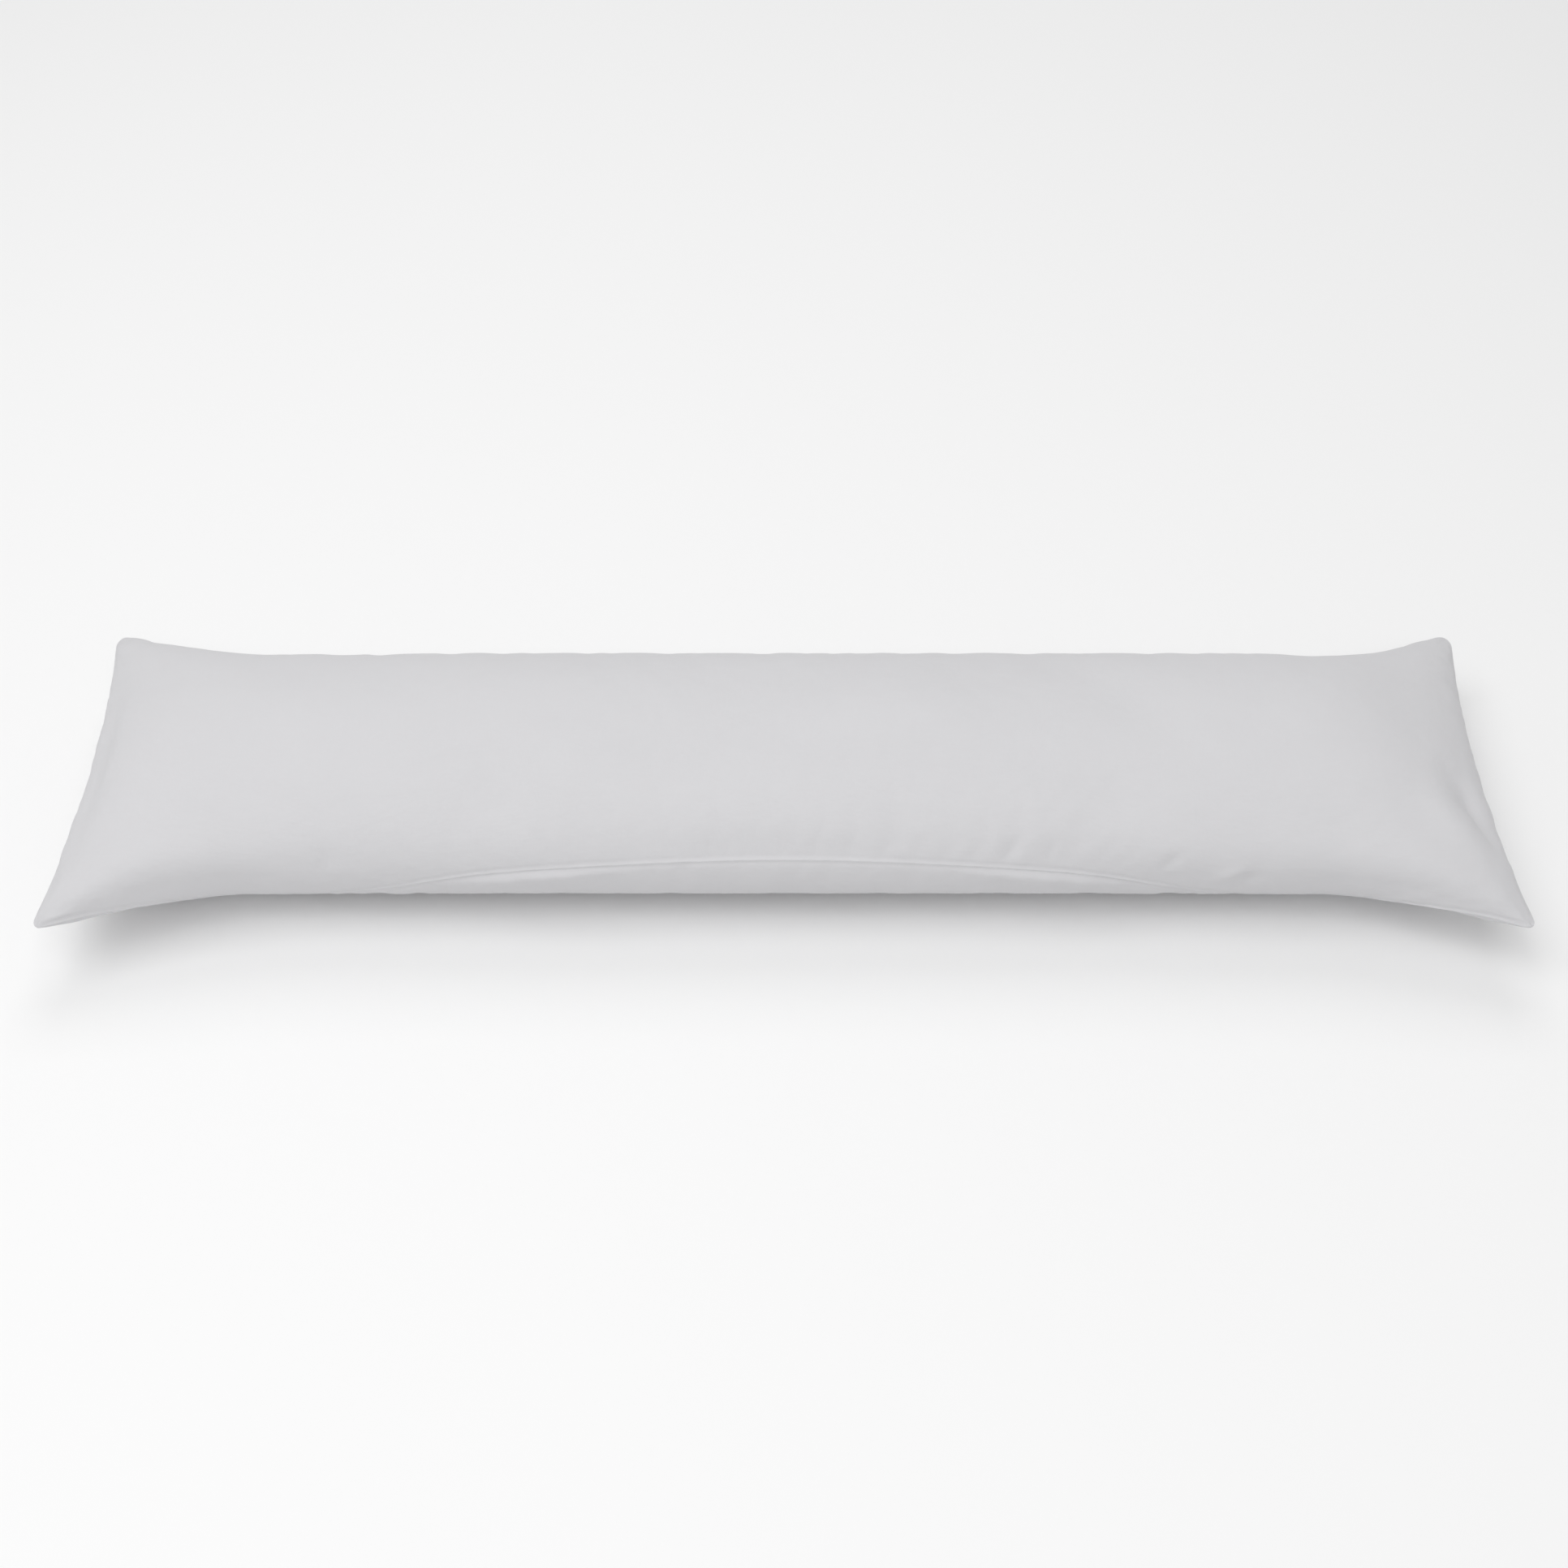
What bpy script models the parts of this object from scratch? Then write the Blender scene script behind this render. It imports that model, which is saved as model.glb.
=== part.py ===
"""A body pillow, lying on its back: two plain panels of cloth, sewn all round and filled.

Units are metres, +Z up. +X runs along the pillow and -Y is its front. The origin is on
the surface that the pillow lies on, below the middle of its box.
"""

import math
from typing import NamedTuple

import bmesh
import bpy
from mathutils import Vector

# Driving dimensions
HALF_LENGTH = 0.712  # from the middle to the corner tips, along X
HALF_CORNER = 0.201  # from the middle line to the corner tips, where the cloth is flat
HALF_WAIST = 0.143  # the same in the middle, where the fill draws the sides in
CLOTH_WIDTH = 0.400  # one flat panel, from the front seam to the back seam
CROWN_HEIGHT = 0.171
SEAM_HEIGHT = 0.0955

# Along the pillow
FLARE_START = 0.520  # the sides run straight to here and then out to the corners
FLARE_SOFTNESS = 0.3  # 0 turns outwards at once, and more starts more gently
TIP_DROP = 0.011  # how far the corner tips hang below the side seams
FRONT_TIP_RADIUS = 0.012  # in plan
BACK_TIP_RADIUS = 0.018

# Round a section
PRESSED_DEPTH = 0.006  # how much of the round underside is pressed flat
END_EDGE = 0.72  # 1 is an elliptic section, and less fills the panels out at their seams
SEAM_BASE = math.radians(3.0)  # the front seam is turned up this far round most sections

# The cage
CELLS_ALONG = 46
CELLS_ACROSS = 14
END_CROWDING = 0.5  # 0 spaces the cells evenly, and 1 crowds them most towards the ends
SEAM_CROWDING = 0.05  # the same towards the side seams
SEAM_FADE = 0.020  # folds die out over this distance from a seam
PROBE = 0.001  # step for a surface direction, as a share of the panel
MERGE_DISTANCE = 0.00005

CLOTH_COLOR = (0.665, 0.660, 0.672, 1.0)
CLOTH_ROUGHNESS = 0.85

FLARE_AT_TIP = math.hypot(1, FLARE_SOFTNESS) - FLARE_SOFTNESS
HALF_RIGHT_ANGLE = math.pi / 4

TOP, BOTTOM = 1, -1
LEFT, RIGHT = -1, 1


class EndShape(NamedTuple):
    """How the fill rises from one end seam, and how far that seam is drawn in."""

    rise_at_corners: float  # from the seam to the full height of the fill
    rise_in_middle: float
    rise_power: float
    draw: float


ENDS = {
    # rise_at_corners, rise_in_middle, rise_power, draw
    LEFT: EndShape(0.32, 0.18, 0.60, 0.014),
    RIGHT: EndShape(0.33, 0.17, 0.60, 0.014),
}


class SeamTurn(NamedTuple):
    """A stretch where the front seam is turned up round the section, or down if negative."""

    along: float
    reach: float
    degrees: float


SEAM_TURNS = (
    # along, reach, degrees
    SeamTurn(0.00, 0.24, 10.4),
    SeamTurn(-0.56, 0.09, -26.0),
    SeamTurn(0.55, 0.09, -28.0),
)


class Fold(NamedTuple):
    """A soft trough in the cloth, or a ridge where its depth is negative."""

    panel: int
    along: float  # its middle, from the pillow's middle
    across: float  # its middle, over the cloth from the front seam
    turn: float  # its line, in degrees from +X towards the back seam
    length: float  # from its middle to where it has nearly died out
    width: float
    depth: float


FOLDS = (
    # panel, along, across, turn, length, width, depth
    Fold(TOP, -0.697, 0.195, 90, 0.110, 0.018, 0.006),  # left end, hollow behind the seam
    Fold(TOP, -0.605, 0.050, 25, 0.080, 0.026, 0.006),  # left front corner
    Fold(TOP, 0.600, 0.050, -25, 0.090, 0.028, 0.008),  # right front corner
    Fold(TOP, 0.695, 0.235, 92, 0.150, 0.028, 0.009),  # right end, the slope to the seam
    Fold(TOP, 0.684, 0.150, -46, 0.060, 0.018, 0.008),  # right end, the crease
    Fold(TOP, 0.652, 0.122, -42, 0.060, 0.020, -0.005),  # ridge beside that crease
    Fold(TOP, 0.600, 0.372, 2, 0.100, 0.028, 0.008),  # right back corner
    Fold(TOP, -0.610, 0.375, -3, 0.090, 0.026, 0.006),  # left back corner
    Fold(TOP, -0.276, 0.110, 20, 0.090, 0.040, 0.004),  # shallow dents in the fill
    Fold(TOP, -0.090, 0.140, -8, 0.100, 0.040, 0.003),
    Fold(TOP, 0.323, 0.120, 28, 0.090, 0.038, 0.004),
    Fold(TOP, 0.130, 0.190, 0, 0.130, 0.060, -0.003),
    Fold(TOP, 0.000, 0.022, 0, 0.200, 0.022, 0.005),  # beside the front seam
    Fold(BOTTOM, -0.590, 0.045, 5, 0.100, 0.030, 0.008),  # the corners underneath
    Fold(BOTTOM, 0.600, 0.045, -5, 0.100, 0.030, 0.008),
    Fold(BOTTOM, -0.600, 0.355, -5, 0.100, 0.030, 0.008),
    Fold(BOTTOM, 0.590, 0.355, 5, 0.100, 0.030, 0.008),
)


def smooth_step(share):
    """Go from 0 to 1 with level ends."""
    share = min(max(share, 0.0), 1.0)
    return share * share * (3 - 2 * share)


def crowd_to_ends(u):
    """Move a cell line at u, from -1 to 1, towards the nearer end."""
    return (1 - END_CROWDING) * u + END_CROWDING * math.sin(u * math.pi / 2)


def crowd_to_seams(t):
    """Move a cell line at t, from 0 to 1, towards the nearer side seam."""
    return t - SEAM_CROWDING * math.sin(2 * math.pi * t)


def half_width(x):
    """Half the distance between the two side seams."""
    share = max(abs(x) - FLARE_START, 0.0) / (HALF_LENGTH - FLARE_START)
    flare = math.hypot(share, FLARE_SOFTNESS) - FLARE_SOFTNESS
    return HALF_WAIST + (HALF_CORNER - HALF_WAIST) * flare / FLARE_AT_TIP


def tip_rounding(to_end, to_side, radius):
    """How far a place by a corner moves in from the end's line and from the side's."""
    past_end, past_side = max(radius - to_end, 0.0), max(radius - to_side, 0.0)
    longer, shorter = max(past_end, past_side), min(past_end, past_side)
    if longer <= 0.0:
        return 0.0, 0.0
    turn = HALF_RIGHT_ANGLE * shorter / longer
    off_longer, off_shorter = longer * (1 - math.cos(turn)), shorter - longer * math.sin(turn)
    return (off_longer, off_shorter) if past_end >= past_side else (off_shorter, off_longer)


def seam_turn(x, near_end):
    """How far the front seam is turned up round the section."""
    turned = SEAM_BASE
    for stretch in SEAM_TURNS:
        near = math.exp(-(((x - stretch.along) / stretch.reach) ** 2))
        turned += math.radians(stretch.degrees) * near
    return turned * (1 - near_end**2)


def bare_point(panel, u, t):
    """The cloth without its folds, at u from end to end and t from front seam to back."""
    x = u * HALF_LENGTH
    side = RIGHT if u > 0 else LEFT
    end = ENDS[side]
    to_middle = math.sin(math.pi * t)
    rise = end.rise_at_corners * (1 - to_middle) + end.rise_in_middle * to_middle
    risen = min((HALF_LENGTH - abs(x)) / rise, 1.0)
    near_end = (1 - risen) ** 2
    fullness = max(1 - near_end, 0.0) ** end.rise_power
    edge = END_EDGE + (1 - END_EDGE) * smooth_step(risen)

    angle = panel * math.pi * t + seam_turn(x, near_end) * (1 - t)
    reach = math.sin(angle)
    seam = SEAM_HEIGHT - TIP_DROP * near_end
    height = CROWN_HEIGHT - SEAM_HEIGHT if reach > 0 else SEAM_HEIGHT + PRESSED_DEPTH
    lift = math.copysign(height * fullness * abs(reach) ** edge, reach)

    half = half_width(x)
    y = -half * math.cos(angle)
    radius = FRONT_TIP_RADIUS if y < 0 else BACK_TIP_RADIUS
    off_end, off_side = tip_rounding(HALF_LENGTH - abs(x), half - abs(y), radius)
    x -= side * (end.draw * to_middle**2 * near_end + off_end)
    return Vector((x, y - math.copysign(off_side, y), seam + lift))


def outward(panel, u, t):
    """The direction that the cloth faces."""
    along = bare_point(panel, u + PROBE, t) - bare_point(panel, u - PROBE, t)
    across = bare_point(panel, u, t + PROBE) - bare_point(panel, u, t - PROBE)
    return (panel * along.cross(across)).normalized()


def fold_depth(panel, along, across):
    """How far all folds together press the cloth in."""
    total = 0.0
    for fold in FOLDS:
        if fold.panel != panel:
            continue
        turn = math.radians(fold.turn)
        dx, dy = along - fold.along, across - fold.across
        beside = (dy * math.cos(turn) - dx * math.sin(turn)) / fold.width
        down = (dx * math.cos(turn) + dy * math.sin(turn)) / fold.length
        total += fold.depth * math.exp(-(beside**2)) * (1 - smooth_step(abs(down)))
    return total


def cloth_point(panel, u, t):
    """The cloth with its folds, which die out at the seams."""
    point = bare_point(panel, u, t)
    along, across = u * HALF_LENGTH, t * CLOTH_WIDTH
    to_seam = min(HALF_LENGTH - abs(along), across, CLOTH_WIDTH - across)
    if to_seam <= MERGE_DISTANCE:
        return point
    pressed = fold_depth(panel, along, across) * smooth_step(to_seam / SEAM_FADE)
    return point - outward(panel, u, t) * pressed


def add_panel(bm, panel):
    """Lay a grid of cells over one panel of the pillow, with its rim creased."""
    grid = bmesh.ops.create_grid(bm, x_segments=CELLS_ALONG, y_segments=CELLS_ACROSS, size=1)
    crease = bm.edges.layers.float["crease_edge"]
    for vert in grid["verts"]:
        u = crowd_to_ends(vert.co.x)
        t = crowd_to_seams((vert.co.y + 1) / 2)
        vert.co = cloth_point(panel, u, t)
        for edge in vert.link_edges:
            if edge.is_boundary:
                edge[crease] = 1.0


def pillow_cage():
    """Both panels, joined along the seam."""
    bm = bmesh.new()
    bm.edges.layers.float.new("crease_edge")
    add_panel(bm, TOP)
    add_panel(bm, BOTTOM)
    bmesh.ops.remove_doubles(bm, verts=bm.verts, dist=MERGE_DISTANCE)
    bmesh.ops.recalc_face_normals(bm, faces=bm.faces)
    mesh = bpy.data.meshes.new("pillow")
    bm.to_mesh(mesh)
    bm.free()
    return mesh


def cloth_material():
    """Light grey cotton."""
    material = bpy.data.materials.new("grey_cotton")
    material.use_nodes = True
    shader = material.node_tree.nodes["Principled BSDF"]
    shader.inputs["Base Color"].default_value = CLOTH_COLOR
    shader.inputs["Roughness"].default_value = CLOTH_ROUGHNESS
    shader.inputs["Metallic"].default_value = 0.0
    return material


def make_pillow(collection):
    """The whole pillow: the cage made smooth, then pressed flat where it lies."""
    pillow = bpy.data.objects.new("pillow", pillow_cage())
    collection.objects.link(pillow)
    smooth = pillow.modifiers.new("Smooth", "SUBSURF")
    smooth.levels = 1
    smooth.render_levels = 1

    depsgraph = bpy.context.evaluated_depsgraph_get()
    cage = pillow.data
    pillow.data = bpy.data.meshes.new_from_object(pillow.evaluated_get(depsgraph))
    pillow.modifiers.clear()
    bpy.data.meshes.remove(cage)
    for vert in pillow.data.vertices:
        vert.co.z = max(vert.co.z, 0.0)
    pillow.data.materials.append(cloth_material())
    pillow.data.shade_smooth()


def main():
    for leftover in list(bpy.data.objects):
        bpy.data.objects.remove(leftover, do_unlink=True)
    collection = bpy.data.collections.new("body_pillow")
    bpy.context.scene.collection.children.link(collection)
    make_pillow(collection)


main()
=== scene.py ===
"""The looks of a body pillow that lies on its back: a sewn cotton cover, filled and soft.

Lengths are metres, +Z up. +X runs along the pillow and -Y is its front, as in the frame.
"""

from __future__ import annotations

import logging
import math
from dataclasses import dataclass, field
from enum import Enum

import bpy
import numpy as np
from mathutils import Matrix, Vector

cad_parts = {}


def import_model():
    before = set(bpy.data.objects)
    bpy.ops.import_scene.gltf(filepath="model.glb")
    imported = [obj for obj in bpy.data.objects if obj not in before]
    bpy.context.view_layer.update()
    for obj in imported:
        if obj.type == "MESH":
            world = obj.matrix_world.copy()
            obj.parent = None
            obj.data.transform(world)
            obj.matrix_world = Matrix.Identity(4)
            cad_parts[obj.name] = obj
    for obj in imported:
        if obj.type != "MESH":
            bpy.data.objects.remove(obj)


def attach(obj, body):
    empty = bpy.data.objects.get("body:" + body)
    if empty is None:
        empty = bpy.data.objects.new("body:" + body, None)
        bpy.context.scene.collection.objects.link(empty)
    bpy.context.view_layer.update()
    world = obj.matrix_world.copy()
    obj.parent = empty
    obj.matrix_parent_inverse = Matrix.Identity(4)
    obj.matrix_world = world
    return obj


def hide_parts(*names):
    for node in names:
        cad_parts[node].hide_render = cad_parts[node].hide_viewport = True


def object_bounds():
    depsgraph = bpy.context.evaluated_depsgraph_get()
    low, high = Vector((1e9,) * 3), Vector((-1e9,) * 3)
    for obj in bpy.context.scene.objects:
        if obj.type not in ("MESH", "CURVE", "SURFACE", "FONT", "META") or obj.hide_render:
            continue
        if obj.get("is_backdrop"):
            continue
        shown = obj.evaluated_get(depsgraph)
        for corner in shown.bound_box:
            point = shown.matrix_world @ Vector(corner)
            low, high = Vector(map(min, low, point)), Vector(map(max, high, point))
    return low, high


LOG = logging.getLogger("body_pillow")
MILLIMETRE = 0.001
CLOTH_MAP = "cloth"
LEAST_LENGTH = 1e-9
LEAST_AREA = 1e-15


class Panel(Enum):
    """One of the two pieces of cloth, with the side that it faces."""

    TOP = 1
    BOTTOM = -1


@dataclass(frozen=True)
class Fold:
    """A soft trough in the cloth, or a ridge where its depth is negative.

    Its middle is measured over the cloth, along from the pillow's middle and across from
    the front seam. Its line is turned in degrees from +X towards the back seam.
    """

    panel: Panel
    along: float
    across: float
    turn: float
    length: float
    width: float
    depth: float

    def pressed(self, along: np.ndarray, across: np.ndarray) -> np.ndarray:
        """Work out how far the fold presses the cloth in.

        Args:
            along: Places on the cloth, from the pillow's middle.
            across: The same places, from the front seam.

        Returns:
            The depth at each place.
        """
        turn = math.radians(self.turn)
        dx, dy = along - self.along, across - self.across
        beside = (dy * math.cos(turn) - dx * math.sin(turn)) / self.width
        down = (dx * math.cos(turn) + dy * math.sin(turn)) / self.length
        return self.depth * np.exp(-(beside**2)) * (1 - smooth_step(np.abs(down)))


FOLDS = (
    # panel, along, across, turn, length, width, depth
    Fold(Panel.TOP, -0.697, 0.195, 90, 0.110, 0.018, 0.006),
    Fold(Panel.TOP, -0.605, 0.050, 25, 0.080, 0.026, 0.002),
    Fold(Panel.TOP, 0.600, 0.050, -25, 0.090, 0.028, 0.002),
    Fold(Panel.TOP, 0.684, 0.150, -46, 0.060, 0.018, 0.008),
    Fold(Panel.TOP, 0.652, 0.122, -42, 0.060, 0.020, -0.005),
    Fold(Panel.TOP, 0.600, 0.372, 2, 0.100, 0.028, 0.008),
    Fold(Panel.TOP, -0.610, 0.375, -3, 0.090, 0.026, 0.006),
    Fold(Panel.TOP, -0.276, 0.110, 20, 0.090, 0.040, 0.004),
    Fold(Panel.TOP, -0.090, 0.140, -8, 0.100, 0.040, 0.003),
    Fold(Panel.TOP, 0.323, 0.120, 28, 0.090, 0.038, 0.004),
    Fold(Panel.TOP, 0.130, 0.190, 0, 0.130, 0.060, -0.003),
    Fold(Panel.BOTTOM, -0.590, 0.045, 5, 0.100, 0.030, 0.008),
    Fold(Panel.BOTTOM, 0.600, 0.045, -5, 0.100, 0.030, 0.008),
    Fold(Panel.BOTTOM, -0.600, 0.355, -5, 0.100, 0.030, 0.008),
    Fold(Panel.BOTTOM, 0.590, 0.355, 5, 0.100, 0.030, 0.008),
    # the fill is thin behind the right end, and the front walls of both corners are steep
    Fold(Panel.TOP, 0.630, 0.275, 95, 0.180, 0.055, 0.005),
    Fold(Panel.TOP, -0.570, 0.076, 12, 0.150, 0.034, -0.0065),
    Fold(Panel.TOP, 0.560, 0.076, -12, 0.160, 0.034, -0.0090),
    Fold(Panel.TOP, 0.400, 0.066, -2, 0.120, 0.030, -0.0040),
    # broad soft hollows and swells of the fill
    Fold(Panel.TOP, -0.040, 0.210, 38, 0.150, 0.045, 0.0050),
    Fold(Panel.TOP, -0.250, 0.225, 10, 0.200, 0.055, -0.0045),
    Fold(Panel.TOP, 0.120, 0.190, 8, 0.140, 0.045, -0.0050),
    Fold(Panel.TOP, 0.330, 0.235, -40, 0.140, 0.042, 0.0045),
    Fold(Panel.TOP, -0.470, 0.290, 20, 0.140, 0.048, 0.0045),
    # beside the front seam, where it runs up round the middle
    Fold(Panel.TOP, 0.000, 0.020, 0, 0.230, 0.025, 0.0020),
    Fold(Panel.BOTTOM, -0.240, 0.014, 0, 0.120, 0.014, -0.005),
    Fold(Panel.BOTTOM, 0.250, 0.014, 0, 0.120, 0.014, -0.005),
    # small wrinkles that rise from the front seam
    Fold(Panel.TOP, 0.219, 0.034, 70, 0.034, 0.0060, 0.0020),
    Fold(Panel.TOP, 0.255, 0.034, 72, 0.034, 0.0060, 0.0018),
    Fold(Panel.TOP, 0.372, 0.052, 66, 0.026, 0.0060, 0.0024),
    Fold(Panel.TOP, 0.426, 0.046, 52, 0.034, 0.0070, -0.0028),
    Fold(Panel.TOP, 0.446, 0.042, 56, 0.034, 0.0080, 0.0030),
    Fold(Panel.TOP, -0.438, 0.070, 98, 0.034, 0.0080, 0.0022),
    Fold(Panel.TOP, -0.290, 0.148, -36, 0.046, 0.0080, 0.0014),
)


def smooth_step(share: np.ndarray | float) -> np.ndarray:
    """Go from 0 to 1 with level ends."""
    share = np.clip(share, 0.0, 1.0)
    return share * share * (3 - 2 * share)


@dataclass(frozen=True)
class EndShape:
    """How the fill rises from one end seam, and how far that seam is drawn in."""

    rise_at_corners: float
    rise_in_middle: float
    rise_power: float
    draw: float


LEFT_END = EndShape(rise_at_corners=0.32, rise_in_middle=0.18, rise_power=0.60, draw=0.014)
RIGHT_END = EndShape(rise_at_corners=0.33, rise_in_middle=0.21, rise_power=0.60, draw=0.014)


@dataclass(frozen=True)
class SeamTurn:
    """A stretch where the front seam is turned up round the section, or down if negative."""

    along: float
    reach: float
    degrees: float

    def turned(self, x: np.ndarray) -> np.ndarray:
        """Give the turn in radians at each place along the pillow."""
        return math.radians(self.degrees) * np.exp(-(((x - self.along) / self.reach) ** 2))


SEAM_TURNS = (
    # along, reach, degrees
    SeamTurn(0.00, 0.24, 10.4),
    SeamTurn(-0.50, 0.15, -31.0),
    SeamTurn(0.50, 0.15, -32.0),
)


@dataclass(frozen=True)
class PillowForm:
    """The shape that the fill gives the sewn cloth, as a formula over both panels."""

    half_length: float = 0.712
    half_corner: float = 0.201
    half_waist: float = 0.143
    cloth_width: float = 0.400
    crown_height: float = 0.171
    seam_height: float = 0.0955
    flare_start: float = 0.520
    flare_softness: float = 0.3
    left: EndShape = LEFT_END
    right: EndShape = RIGHT_END
    seam_turns: tuple[SeamTurn, ...] = SEAM_TURNS
    seam_base: float = math.radians(3.0)
    tip_drop: float = 0.011
    front_tip_radius: float = 0.012
    back_tip_radius: float = 0.018
    pressed_depth: float = 0.006
    end_edge: float = 0.72
    side_fade: float = 0.012
    end_fade: float = 0.034
    folds: tuple[Fold, ...] = FOLDS

    def half_width(self, x: np.ndarray) -> np.ndarray:
        """Give half the distance between the side seams at each place along the pillow."""
        share = np.maximum(np.abs(x) - self.flare_start, 0.0) / (self.half_length - self.flare_start)
        flare = np.hypot(share, self.flare_softness) - self.flare_softness
        at_tip = math.hypot(1, self.flare_softness) - self.flare_softness
        return self.half_waist + (self.half_corner - self.half_waist) * flare / at_tip

    def bare(self, panel: Panel, u: np.ndarray, t: np.ndarray) -> np.ndarray:
        """Place the cloth without its folds.

        Args:
            panel: The piece of cloth.
            u: Places from end to end, -1 to 1.
            t: The same places from the front seam, 0, to the back seam, 1.

        Returns:
            Their points, with the three coordinates on the last axis.
        """
        x = u * self.half_length
        on_left = u < 0

        def of_end(name: str) -> np.ndarray:
            return np.where(on_left, getattr(self.left, name), getattr(self.right, name))

        to_middle = np.sin(math.pi * t)
        rise = of_end("rise_at_corners") * (1 - to_middle) + of_end("rise_in_middle") * to_middle
        risen = np.clip((self.half_length - np.abs(x)) / rise, 0.0, 1.0)
        near_end = (1 - risen) ** 2
        fullness = (1 - near_end) ** of_end("rise_power")
        edge = self.end_edge + (1 - self.end_edge) * smooth_step(risen)

        turned = sum(stretch.turned(x) for stretch in self.seam_turns)
        turned = (turned + self.seam_base) * (1 - near_end**2)
        angle = panel.value * math.pi * t + turned * (1 - t)
        reach = np.sin(angle)
        seam = self.seam_height - self.tip_drop * near_end
        above, below = self.crown_height - self.seam_height, self.seam_height + self.pressed_depth
        height = np.where(reach > 0, above, below)
        lift = np.sign(reach) * height * fullness * np.abs(reach) ** edge

        half = self.half_width(x)
        y = -half * np.cos(angle)
        tip_x, tip_y = self.tip_rounding(self.half_length - np.abs(x), half - np.abs(y), y < 0)
        x = x - np.sign(u) * (of_end("draw") * to_middle**2 * near_end + tip_x)
        return np.stack([x, y - np.sign(y) * tip_y, seam + lift], axis=-1)

    def tip_rounding(
        self, to_end: np.ndarray, to_side: np.ndarray, front: np.ndarray
    ) -> tuple[np.ndarray, np.ndarray]:
        """Round the corner tips in plan.

        Args:
            to_end: How far each place is from the end's line.
            to_side: How far it is from the side's line.
            front: Whether it is on the front half.

        Returns:
            How far each place moves in from the end's line, and from the side's.
        """
        radius = np.where(front, self.front_tip_radius, self.back_tip_radius)
        past_x = np.maximum(radius - to_end, 0.0)
        past_y = np.maximum(radius - to_side, 0.0)
        longer, shorter = np.maximum(past_x, past_y), np.minimum(past_x, past_y)
        turn = math.pi / 4 * shorter / np.maximum(longer, LEAST_LENGTH)
        off_longer, off_shorter = longer * (1 - np.cos(turn)), shorter - longer * np.sin(turn)
        x_longer = past_x >= past_y
        return np.where(x_longer, off_longer, off_shorter), np.where(x_longer, off_shorter, off_longer)

    def pressed(self, panel: Panel, u: np.ndarray, t: np.ndarray) -> np.ndarray:
        """Work out how far the folds press the cloth in. They die out at the seams."""
        along, across = u * self.half_length, t * self.cloth_width
        to_end = self.half_length - np.abs(along)
        to_side = np.minimum(across, self.cloth_width - across)
        depth = sum(f.pressed(along, across) for f in self.folds if f.panel is panel)
        return depth * smooth_step(to_end / self.end_fade) * smooth_step(to_side / self.side_fade)


@dataclass(frozen=True)
class LineSpacing:
    """How far apart the mesh lines lie over the cloth: finest at its seams."""

    GROWING_STEPS = 60

    finest: float
    growth: float
    widest: float

    def places(self, length: float) -> np.ndarray:
        """Place lines over a run of cloth.

        Args:
            length: The run, from seam to seam.

        Returns:
            The places from 0 to the length, the same from either seam.
        """
        steps = np.minimum(self.finest * self.growth ** np.arange(self.GROWING_STEPS), self.widest)
        steps = np.concatenate([steps, np.full(int(length / self.widest), self.widest)])
        half = np.concatenate([[0.0], np.cumsum(steps)])
        count = int(np.searchsorted(half, length / 2))
        half = half[: count + 1] * (length / 2 / half[count])
        return np.concatenate([half[:-1], (length - half)[::-1]])


class ClothGrid:
    """Mesh lines over both panels, at even lengths of cloth over the crown."""

    SAMPLES = 4001

    def __init__(self, form: PillowForm, spacing: LineSpacing) -> None:
        """Lay the lines over a form.

        Args:
            form: The shape that the cloth follows.
            spacing: How far apart the lines lie.
        """
        end_to_end = np.sin(np.linspace(-1, 1, self.SAMPLES) * math.pi / 2)
        side_to_side = np.linspace(0, 1, self.SAMPLES)
        run_along = self.run(form.bare(Panel.TOP, end_to_end, np.full(self.SAMPLES, 0.5)))
        run_across = self.run(form.bare(Panel.TOP, np.zeros(self.SAMPLES), side_to_side))
        self.form = form
        self.along = spacing.places(run_along[-1])
        self.across = spacing.places(run_across[-1])
        self.u, self.t = np.meshgrid(
            np.interp(self.along, run_along, end_to_end),
            np.interp(self.across, run_across, side_to_side),
            indexing="ij",
        )

    @staticmethod
    def run(points: np.ndarray) -> np.ndarray:
        """Measure the way along the points, from the first to each."""
        return np.concatenate([[0.0], np.cumsum(np.linalg.norm(np.diff(points, axis=0), axis=-1))])

    def bare(self, panel: Panel) -> np.ndarray:
        """Place a panel's points without its folds."""
        return self.form.bare(panel, self.u, self.t)

    @staticmethod
    def outward(panel: Panel, points: np.ndarray) -> np.ndarray:
        """Give the direction that a panel's points face."""
        facing = panel.value * np.cross(np.gradient(points, axis=0), np.gradient(points, axis=1))
        return facing / np.maximum(np.linalg.norm(facing, axis=-1, keepdims=True), LEAST_AREA)

    @staticmethod
    def to_seam(points: np.ndarray) -> np.ndarray:
        """Measure the way over the cloth from each point to the nearest seam."""
        nearest = np.full(points.shape[:2], np.inf)
        for axis in (0, 1):
            steps = np.linalg.norm(np.diff(points, axis=axis), axis=-1)
            start = np.zeros_like(np.take(steps, [0], axis=axis))
            way = np.concatenate([start, np.cumsum(steps, axis=axis)], axis=axis)
            back = np.take(way, [-1], axis=axis) - way
            nearest = np.minimum(nearest, np.minimum(way, back))
        return nearest


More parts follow.
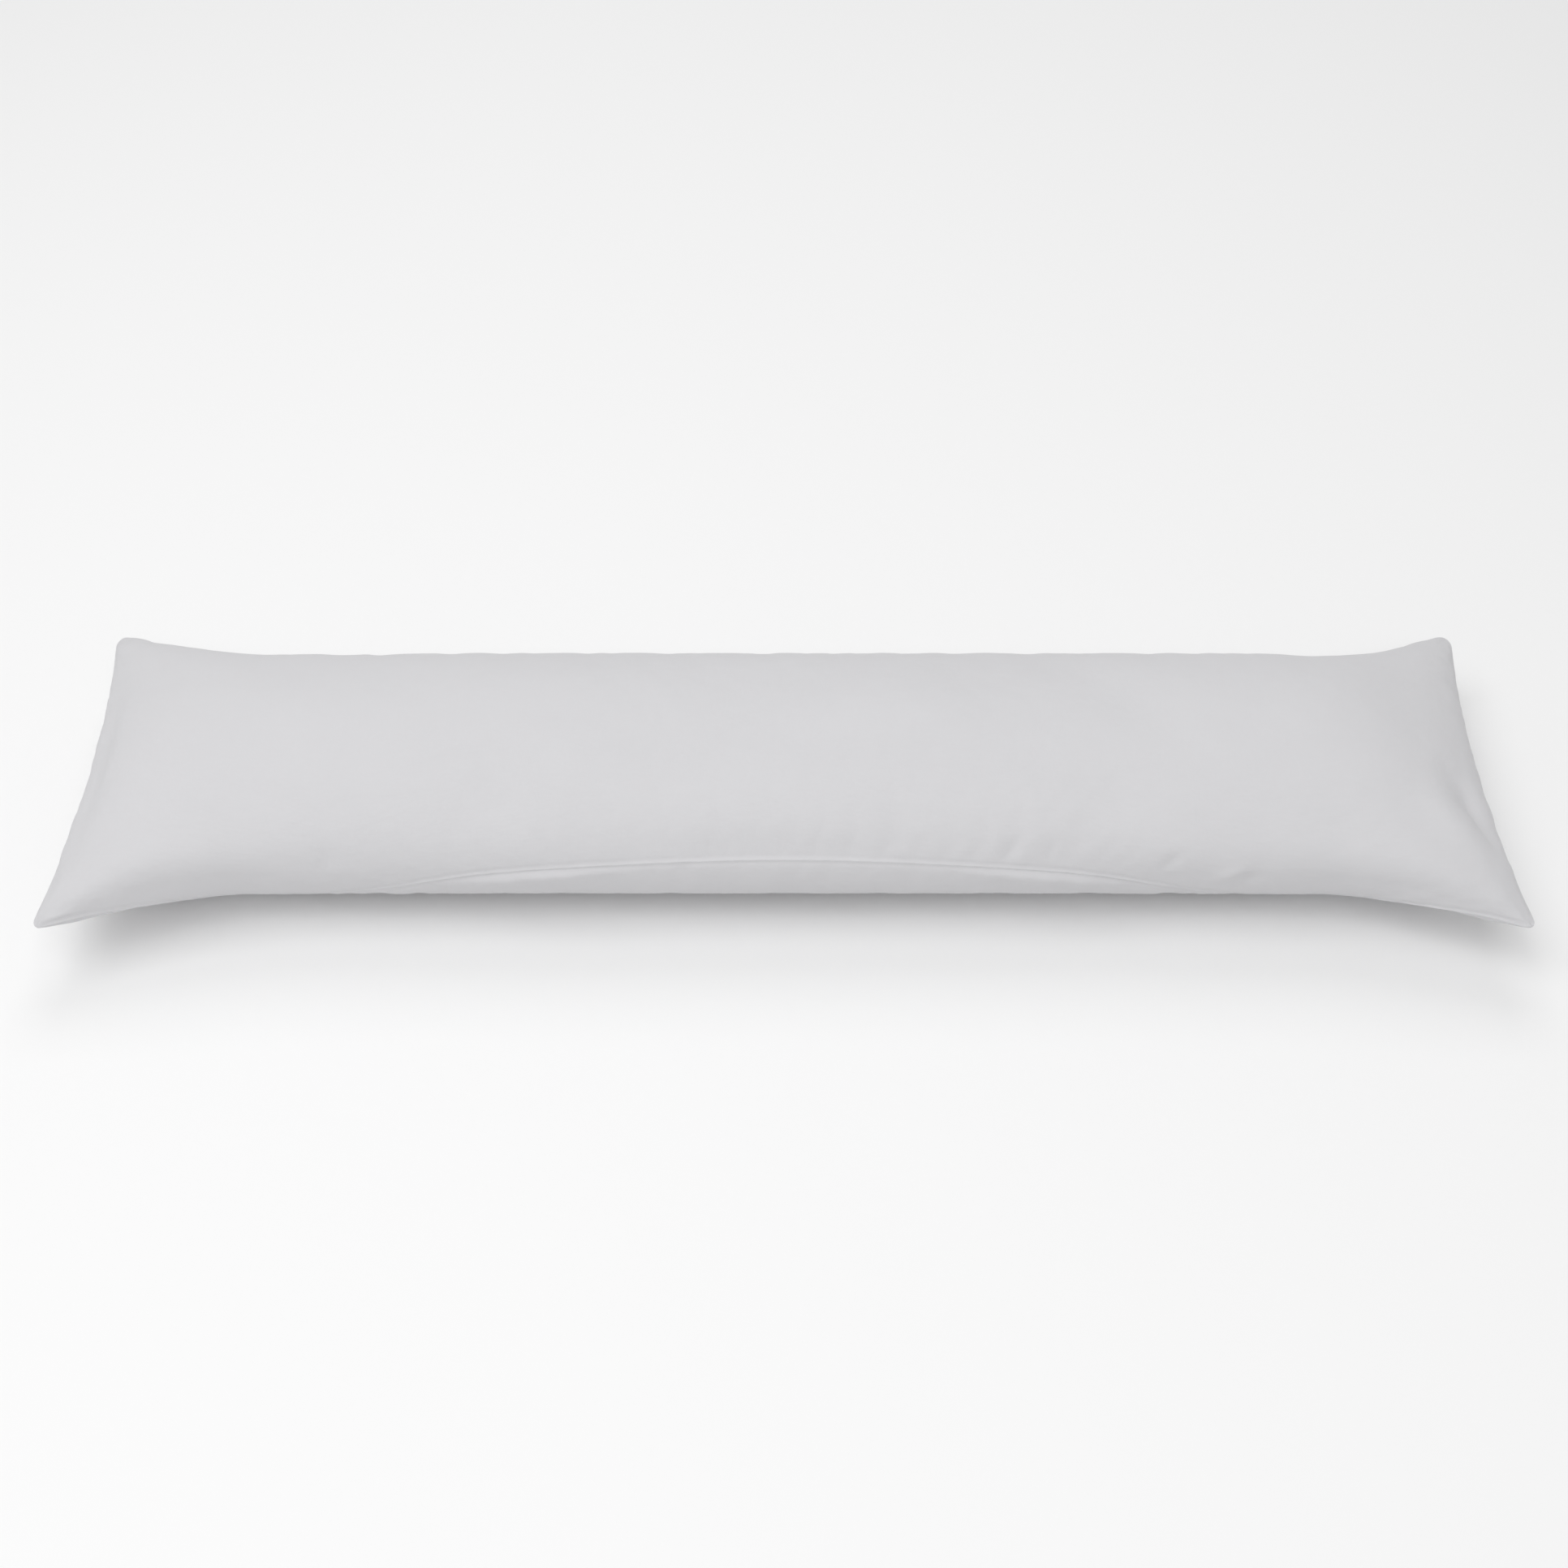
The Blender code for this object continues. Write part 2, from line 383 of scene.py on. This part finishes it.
@dataclass(frozen=True)
class SewnSeam:
    """The plain seam that joins the panels: a narrow rounded edge in a shallow groove."""

    edge_height: float = 0.7 * MILLIMETRE
    edge_width: float = 1.1 * MILLIMETRE
    groove_depth: float = 0.6 * MILLIMETRE
    groove_place: float = 3.4 * MILLIMETRE
    groove_width: float = 2.0 * MILLIMETRE

    def raised(self, to_seam: np.ndarray) -> np.ndarray:
        """Give how far the seam raises the cloth, by the way over the cloth to it."""
        edge = self.edge_height * np.exp(-((to_seam / self.edge_width) ** 2))
        beside = (to_seam - self.groove_place) / self.groove_width
        return edge - self.groove_depth * np.exp(-(beside**2))


class Movement:
    """How far a panel's cloth moved outward, on the lines of its own grid."""

    def __init__(self, grid: ClothGrid, outward: np.ndarray) -> None:
        """Keep a movement.

        Args:
            grid: The lines that it is known on.
            outward: The movement at each of their crossings.
        """
        self.grid = grid
        self.outward = outward

    @staticmethod
    def weights(places: np.ndarray, known: np.ndarray, reach: float) -> np.ndarray:
        """Weigh the known places around each place, a row for each."""
        weight = np.exp(-0.5 * ((places[:, None] - known[None, :]) / reach) ** 2)
        weight = weight * np.gradient(known)[None, :]
        return weight / weight.sum(axis=1, keepdims=True)

    def small_only(self, broad: float, end_reach: float, most: float) -> Movement:
        """Leave out the broad swell, which is the form's own.

        Args:
            broad: The reach of the swell along the seams.
            end_reach: How far in from the end seams those count, instead of the side seams.
            most: The largest movement that is left.

        Returns:
            The small puckers that run in from the seams.
        """
        along, across = self.grid.along, self.grid.across
        from_sides = self.outward - self.weights(along, along, broad) @ self.outward
        from_ends = self.outward - self.outward @ self.weights(across, across, broad).T
        to_end = np.minimum(along, along[-1] - along)[:, None]
        near_end = np.exp(-((to_end / end_reach) ** 2))
        small = from_sides * (1 - near_end) + from_ends * near_end
        return Movement(self.grid, most * np.tanh(small / most))

    def on(self, grid: ClothGrid, reach: float) -> np.ndarray:
        """Carry the movement to another grid's crossings, softened by a reach."""
        along = self.weights(grid.along, self.grid.along, reach)
        across = self.weights(grid.across, self.grid.across, reach)
        return along @ self.outward @ across.T


@dataclass(frozen=True)
class ClothSettling:
    """A cloth simulation with a little more cloth than the fill needs, held at its seams."""

    spacing: LineSpacing = LineSpacing(finest=4.5 * MILLIMETRE, growth=1.08, widest=6.4 * MILLIMETRE)
    spare_cloth: float = 0.012
    pressure: float = 2.0
    stretch_stiffness: float = 30.0
    shear_stiffness: float = 15.0
    bending_stiffness: float = 0.03
    damping: float = 2.0
    cloth_mass: float = 0.15
    quality: int = 6
    last_frame: int = 16
    broad: float = 0.030
    end_reach: float = 0.060
    most: float = 0.0014
    softness: float = 3.6 * MILLIMETRE
    left_in_middle: float = 0.30
    seam_reach: float = 0.045

    def puckers(self, form: PillowForm) -> dict[Panel, Movement]:
        """Simulate the cover and keep its small movement.

        Args:
            form: The shape that the fill gives the cover.

        Returns:
            Each panel's small movement.
        """
        grid = ClothGrid(form, self.spacing)
        bare = {panel: grid.bare(panel) for panel in Panel}
        mesh = sewn_mesh("settling", bare[Panel.TOP], bare[Panel.BOTTOM])
        cloth = bpy.data.objects.new("settling", mesh)
        bpy.context.scene.collection.objects.link(cloth)
        before = points_of(mesh)
        self.hold_and_fill(cloth, grid.u.shape)
        for frame in range(1, self.last_frame + 1):
            bpy.context.scene.frame_set(frame)
        settled = cloth.evaluated_get(bpy.context.evaluated_depsgraph_get())
        moved = points_of(settled.data) - before
        bpy.data.objects.remove(cloth)
        bpy.data.meshes.remove(mesh)
        bpy.context.scene.frame_set(1)

        found = {}
        for panel in Panel:
            facing = grid.outward(panel, bare[panel])
            outward = (moved[sewn_index(grid.u.shape)[panel]] * facing).sum(axis=-1)
            found[panel] = Movement(grid, outward).small_only(self.broad, self.end_reach, self.most)
            most_mm = np.abs(found[panel].outward).max() / MILLIMETRE
            LOG.info("%s panel settled by %.1f mm at most", panel.name, most_mm)
        return found

    def share(self, to_seam: np.ndarray) -> np.ndarray:
        """Give the share of the puckers that is left, by the way over the cloth to the seam."""
        near_seam = np.exp(-((to_seam / self.seam_reach) ** 2))
        return self.left_in_middle + (1 - self.left_in_middle) * near_seam

    def hold_and_fill(self, cloth: bpy.types.Object, shape: tuple[int, int]) -> None:
        """Pin the cloth at its seams and press it out from inside."""
        held = cloth.vertex_groups.new(name="seam")
        rim = np.ones(shape, bool)
        rim[1:-1, 1:-1] = False
        held.add(np.flatnonzero(rim).tolist(), 1.0, "REPLACE")
        modifier = cloth.modifiers.new("settling", "CLOTH")
        settings = modifier.settings
        settings.vertex_group_mass = held.name
        settings.pin_stiffness = 1.0
        settings.shrink_min = -self.spare_cloth
        settings.quality = self.quality
        settings.mass = self.cloth_mass
        settings.tension_stiffness = settings.compression_stiffness = self.stretch_stiffness
        settings.shear_stiffness = self.shear_stiffness
        settings.bending_stiffness = self.bending_stiffness
        settings.use_pressure = True
        settings.uniform_pressure_force = self.pressure
        settings.air_damping = self.damping
        settings.effector_weights.gravity = 0.0
        modifier.point_cache.frame_start = 1
        modifier.point_cache.frame_end = self.last_frame


class NodeGraph:
    """Adds and joins the nodes of a material."""

    def __init__(self, tree: bpy.types.NodeTree) -> None:
        """Work on a material's tree."""
        self.tree = tree

    def add(self, kind: str, **settings: object) -> bpy.types.Node:
        """Add a node and set its own settings."""
        node = self.tree.nodes.new(kind)
        for name, value in settings.items():
            setattr(node, name, value)
        return node

    def feed(self, socket: bpy.types.NodeSocket, value: object) -> None:
        """Join a socket to an output, or set it to a plain value."""
        if isinstance(value, bpy.types.NodeSocket):
            self.tree.links.new(value, socket)
        else:
            socket.default_value = value

    def math(self, operation: str, *values: object) -> bpy.types.NodeSocket:
        """Join values by a sum of the given kind."""
        node = self.add("ShaderNodeMath", operation=operation)
        for socket, value in zip(node.inputs, values):
            self.feed(socket, value)
        return node.outputs[0]

    def noise(
        self, place: bpy.types.NodeSocket, scale: tuple[float, float], detail: float
    ) -> bpy.types.NodeSocket:
        """Give smooth chance values from 0 to 1.

        Args:
            place: The place on the cloth.
            scale: Changes in a metre, along and across.
            detail: How many finer layers it has.

        Returns:
            The value's socket.
        """
        stretched = self.add("ShaderNodeMapping")
        self.feed(stretched.inputs["Vector"], place)
        stretched.inputs["Scale"].default_value = (*scale, 1.0)
        node = self.add("ShaderNodeTexNoise")
        self.feed(node.inputs["Vector"], stretched.outputs[0])
        node.inputs["Scale"].default_value = 1.0
        node.inputs["Detail"].default_value = detail
        return node.outputs[0]

    def between(self, share: object, low: float, high: float) -> bpy.types.NodeSocket:
        """Go from low to high as the share goes from 0 to 1."""
        return self.math("MULTIPLY_ADD", share, high - low, low)


@dataclass(frozen=True)
class CottonFinish:
    """Light grey, fine plain-woven cotton."""

    shade: tuple[float, float, float] = (0.651, 0.647, 0.663)
    light: tuple[float, float, float] = (0.669, 0.665, 0.681)
    roughness: tuple[float, float] = (0.84, 0.92)
    sheen: float = 0.15
    sheen_roughness: float = 0.5
    thread: float = 0.45 * MILLIMETRE
    thread_height: float = 0.05 * MILLIMETRE
    slub_height: float = 0.04 * MILLIMETRE
    thread_roundness: float = 0.5
    crumple_height: float = 0.9 * MILLIMETRE

    # changes in a metre, along and across the threads or the cloth
    slub_changes: tuple[float, float] = (45.0, 1400.0)
    crumple_changes: tuple[float, float] = (38.0, 46.0)
    mottling_changes: tuple[float, float] = (14.0, 18.0)

    # finer layers
    slub_layers: float = 1.0
    crumple_layers: float = 3.0
    mottling_layers: float = 2.0

    # what each adds to the tone, and how strongly that spreads between shade and light
    slub_tone: float = 0.45
    mottling_tone: float = 0.55
    tone_spread: tuple[float, float] = (-0.5, 1.5)

    def material(self) -> bpy.types.Material:
        """Make the cotton with its weave, small crumples and faint mottling."""
        made = bpy.data.materials.new("grey_cotton")
        made.use_nodes = True
        graph = NodeGraph(made.node_tree)
        shader = made.node_tree.nodes["Principled BSDF"]
        place = graph.add("ShaderNodeUVMap", uv_map=CLOTH_MAP).outputs[0]

        warp_slubs = graph.noise(place, self.slub_changes, self.slub_layers)
        weft_slubs = graph.noise(place, self.slub_changes[::-1], self.slub_layers)
        slubs = graph.math("MULTIPLY", graph.math("ADD", warp_slubs, weft_slubs), 0.5)
        crumple = graph.noise(place, self.crumple_changes, self.crumple_layers)
        mottling = graph.noise(place, self.mottling_changes, self.mottling_layers)

        mottled = graph.math("MULTIPLY", mottling, self.mottling_tone)
        tone = graph.math("MULTIPLY_ADD", slubs, self.slub_tone, mottled)
        color = graph.add("ShaderNodeMix", data_type="RGBA")
        graph.feed(color.inputs["Factor"], graph.between(tone, *self.tone_spread))
        graph.feed(color.inputs["A"], (*self.shade, 1.0))
        graph.feed(color.inputs["B"], (*self.light, 1.0))
        graph.feed(shader.inputs["Base Color"], color.outputs["Result"])
        graph.feed(shader.inputs["Roughness"], graph.between(mottling, *self.roughness))
        graph.feed(shader.inputs["Sheen Weight"], self.sheen)
        graph.feed(shader.inputs["Sheen Roughness"], self.sheen_roughness)

        height = graph.math("MULTIPLY", self.weave(graph, place), self.thread_height)
        height = graph.math("MULTIPLY_ADD", slubs, self.slub_height, height)
        height = graph.math("MULTIPLY_ADD", crumple, self.crumple_height, height)
        bump = graph.add("ShaderNodeBump")
        graph.feed(bump.inputs["Height"], height)
        graph.feed(bump.inputs["Distance"], 1.0)
        graph.feed(shader.inputs["Normal"], bump.outputs["Normal"])
        return made

    def weave(self, graph: NodeGraph, place: bpy.types.NodeSocket) -> bpy.types.NodeSocket:
        """Give the height of a plain weave, 0 to 1: each thread goes over one and under the next."""
        split = graph.add("ShaderNodeSeparateXYZ")
        graph.feed(split.inputs[0], place)
        ways = [graph.math("MULTIPLY", split.outputs[axis], math.pi / self.thread) for axis in (0, 1)]
        waves = [graph.math("SINE", way) for way in ways]
        warp, weft = [graph.math("ABSOLUTE", wave) for wave in waves]
        warp_over = graph.math("GREATER_THAN", graph.math("MULTIPLY", *waves), 0.0)
        over_warp = graph.math("MULTIPLY", warp, graph.math("POWER", weft, self.thread_roundness))
        over_weft = graph.math("MULTIPLY", weft, graph.math("POWER", warp, self.thread_roundness))
        rise = graph.math("SUBTRACT", over_warp, over_weft)
        return graph.math("MULTIPLY_ADD", rise, warp_over, over_weft)


@dataclass
class CottonCover:
    """The two sewn panels, as one closed surface that follows the fill."""

    form: PillowForm = field(default_factory=PillowForm)
    seam: SewnSeam = field(default_factory=SewnSeam)
    settling: ClothSettling = field(default_factory=ClothSettling)
    finish: CottonFinish = field(default_factory=CottonFinish)
    spacing: LineSpacing = LineSpacing(finest=0.5 * MILLIMETRE, growth=1.18, widest=3.8 * MILLIMETRE)
    cloth_length: float = 1.450

    def build(self) -> bpy.types.Object:
        """Make the cover's mesh and dress it.

        Returns:
            The cover, in the frame's place.
        """
        grid = ClothGrid(self.form, self.spacing)
        puckers = self.settling.puckers(self.form)
        bare, facing, raised = {}, {}, {}
        for panel in Panel:
            bare[panel] = grid.bare(panel)
            facing[panel] = grid.outward(panel, bare[panel])
            to_seam = grid.to_seam(bare[panel])
            raised[panel] = self.seam.raised(to_seam) - self.form.pressed(panel, grid.u, grid.t)
            if panel in puckers:
                moved = puckers[panel].on(grid, self.settling.softness)
                raised[panel] += moved * self.settling.share(to_seam)
        placed = {panel: bare[panel] + facing[panel] * raised[panel][..., None] for panel in Panel}
        joined = (placed[Panel.TOP] + placed[Panel.BOTTOM]) / 2

        flat_x = grid.along * (self.cloth_length / grid.along[-1])
        flat_y = grid.across * (self.form.cloth_width / grid.across[-1])
        flat = np.stack(np.meshgrid(flat_x, flat_y, indexing="ij"), axis=-1)
        mesh = sewn_mesh("pillow_cover", with_rim(placed[Panel.TOP], joined), placed[Panel.BOTTOM], flat)
        cover = bpy.data.objects.new("pillow_cover", mesh)
        bpy.context.scene.collection.objects.link(cover)
        mesh.materials.append(self.finish.material())
        return cover


def with_rim(points: np.ndarray, rim: np.ndarray) -> np.ndarray:
    """Take the rim of a grid of points from another."""
    made = rim.copy()
    made[1:-1, 1:-1] = points[1:-1, 1:-1]
    return made


def points_of(mesh: bpy.types.Mesh) -> np.ndarray:
    """Read a mesh's points."""
    points = np.empty(len(mesh.vertices) * 3, np.float32)
    mesh.vertices.foreach_get("co", points)
    return points.reshape(-1, 3).astype(float)


def sewn_index(shape: tuple[int, int]) -> dict[Panel, np.ndarray]:
    """Number the points of two panels that share their rim.

    Args:
        shape: How many columns and rows of points each has.

    Returns:
        Each panel's point numbers, in columns and rows.
    """
    upper = np.arange(shape[0] * shape[1]).reshape(shape)
    lower = upper.copy()
    inner = lower[1:-1, 1:-1]
    lower[1:-1, 1:-1] = upper.size + np.arange(inner.size).reshape(inner.shape)
    return {Panel.TOP: upper, Panel.BOTTOM: lower}


def corners_of(cells: np.ndarray) -> np.ndarray:
    """List the four corners of each cell of a grid, counter-clockwise seen from above."""
    corners = cells[:-1, :-1], cells[1:, :-1], cells[1:, 1:], cells[:-1, 1:]
    return np.stack(corners, axis=2).reshape(-1, 4, *cells.shape[2:])


def sewn_mesh(
    name: str, top: np.ndarray, bottom: np.ndarray, flat: np.ndarray | None = None
) -> bpy.types.Mesh:
    """Join two grids of points at their rims.

    Args:
        name: The mesh's name.
        top: The upper panel's points, columns by rows by 3, with the rim.
        bottom: The lower panel's points, on the same columns and rows.
        flat: The same points on the flat cloth, columns by rows by 2, if it needs a map.

    Returns:
        One closed mesh with its faces pointing out.
    """
    index = sewn_index(top.shape[:2])
    points = np.concatenate([top.reshape(-1, 3), bottom[1:-1, 1:-1].reshape(-1, 3)])
    points[:, 2] = np.maximum(points[:, 2], 0.0)
    faces = np.concatenate([corners_of(index[Panel.TOP]), corners_of(index[Panel.BOTTOM])[:, ::-1]])
    mesh = bpy.data.meshes.new(name)
    mesh.from_pydata(points.tolist(), [], faces.tolist())
    if flat is not None:
        beside = flat + (0.0, 2 * flat[..., 1].max())
        places = np.concatenate([corners_of(flat), corners_of(beside)[:, ::-1]])
        cloth_map = mesh.uv_layers.new(name=CLOTH_MAP)
        cloth_map.data.foreach_set("uv", places.astype(np.float32).ravel())
    mesh.update()
    mesh.shade_smooth()
    return mesh


@dataclass(frozen=True)
class Softbox:
    """A square lamp that faces the pillow, turned from +X and raised in degrees."""

    name: str
    turn: float
    rise: float
    power: float
    distance: float = 5.0
    side: float = 2.6

    def add(self) -> None:
        """Hang the lamp."""
        data = bpy.data.lights.new(self.name, "AREA")
        data.size = self.side
        data.energy = self.power
        lamp = bpy.data.objects.new(self.name, data)
        bpy.context.scene.collection.objects.link(lamp)
        turn, rise = math.radians(self.turn), math.radians(self.rise)
        way = Vector((math.cos(turn) * math.cos(rise), math.sin(turn) * math.cos(rise), math.sin(rise)))
        lamp.location = way * self.distance
        lamp.rotation_euler = way.to_track_quat("Z", "Y").to_euler()


@dataclass(frozen=True)
class Studio:
    """A pale floor, soft light from above and a camera at the photograph's angle."""

    softboxes: tuple[Softbox, ...] = (
        # name, turn, rise, power
        Softbox("key", 207, 65, 67.0),
        Softbox("front", 270, 58, 54.0),
        Softbox("back", 90, 58, 41.0),
    )
    surround: float = 0.500
    camera_distance: float = 2.2019
    camera_elevation: float = math.radians(46.686)
    camera_tilt: float = math.radians(0.546)
    camera_focus: tuple[float, float, float] = (0.0, 0.0, 0.1)
    lens_mm: float = 50.44
    sensor_mm: float = 36.0
    floor_half: float = 6.0
    floor_grey: float = 0.91
    floor_roughness: float = 0.9

    def add_camera(self) -> None:
        """Place the camera in front of the pillow, looking down at it."""
        data = bpy.data.cameras.new("camera")
        data.lens = self.lens_mm
        data.sensor_width = self.sensor_mm
        camera = bpy.data.objects.new("camera", data)
        bpy.context.scene.collection.objects.link(camera)
        back = Vector((0, -math.cos(self.camera_elevation), math.sin(self.camera_elevation)))
        camera.location = Vector(self.camera_focus) + back * self.camera_distance
        camera.rotation_euler = (math.pi / 2 - self.camera_elevation - self.camera_tilt, 0, 0)
        bpy.context.scene.camera = camera

    def add_floor(self) -> None:
        """Lay the pale floor that the pillow lies on."""
        mesh = bpy.data.meshes.new("floor")
        side = self.floor_half
        corners = [(-side, -side, 0), (side, -side, 0), (side, side, 0), (-side, side, 0)]
        mesh.from_pydata(corners, [], [(0, 1, 2, 3)])
        floor = bpy.data.objects.new("floor", mesh)
        bpy.context.scene.collection.objects.link(floor)
        pale = bpy.data.materials.new("pale_floor")
        pale.use_nodes = True
        shader = pale.node_tree.nodes["Principled BSDF"]
        shader.inputs["Base Color"].default_value = (*[self.floor_grey] * 3, 1)
        shader.inputs["Roughness"].default_value = self.floor_roughness
        mesh.materials.append(pale)
        floor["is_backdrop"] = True

    def add_light(self) -> None:
        """Light the pillow softly from above, most of it from the front and the left."""
        world = bpy.data.worlds.new("studio")
        world.use_nodes = True
        world.node_tree.nodes["Background"].inputs["Color"].default_value = (1, 1, 1, 1)
        world.node_tree.nodes["Background"].inputs["Strength"].default_value = self.surround
        bpy.context.scene.world = world
        for lamp in self.softboxes:
            lamp.add()


def main() -> None:
    """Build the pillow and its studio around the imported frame."""
    logging.basicConfig(level=logging.INFO, format="%(name)s: %(message)s")
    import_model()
    cad_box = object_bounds()
    bpy.context.scene.view_settings.view_transform = "Standard"

    cover = CottonCover().build()
    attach(cover, "root")
    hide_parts("pillow")
    LOG.info("%s: %d faces", cover.name, len(cover.data.polygons))

    studio = Studio()
    studio.add_floor()
    studio.add_light()
    studio.add_camera()

    boxes = [[list(corner) for corner in box] for box in (cad_box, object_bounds())]


if __name__ == "__main__":
    main()
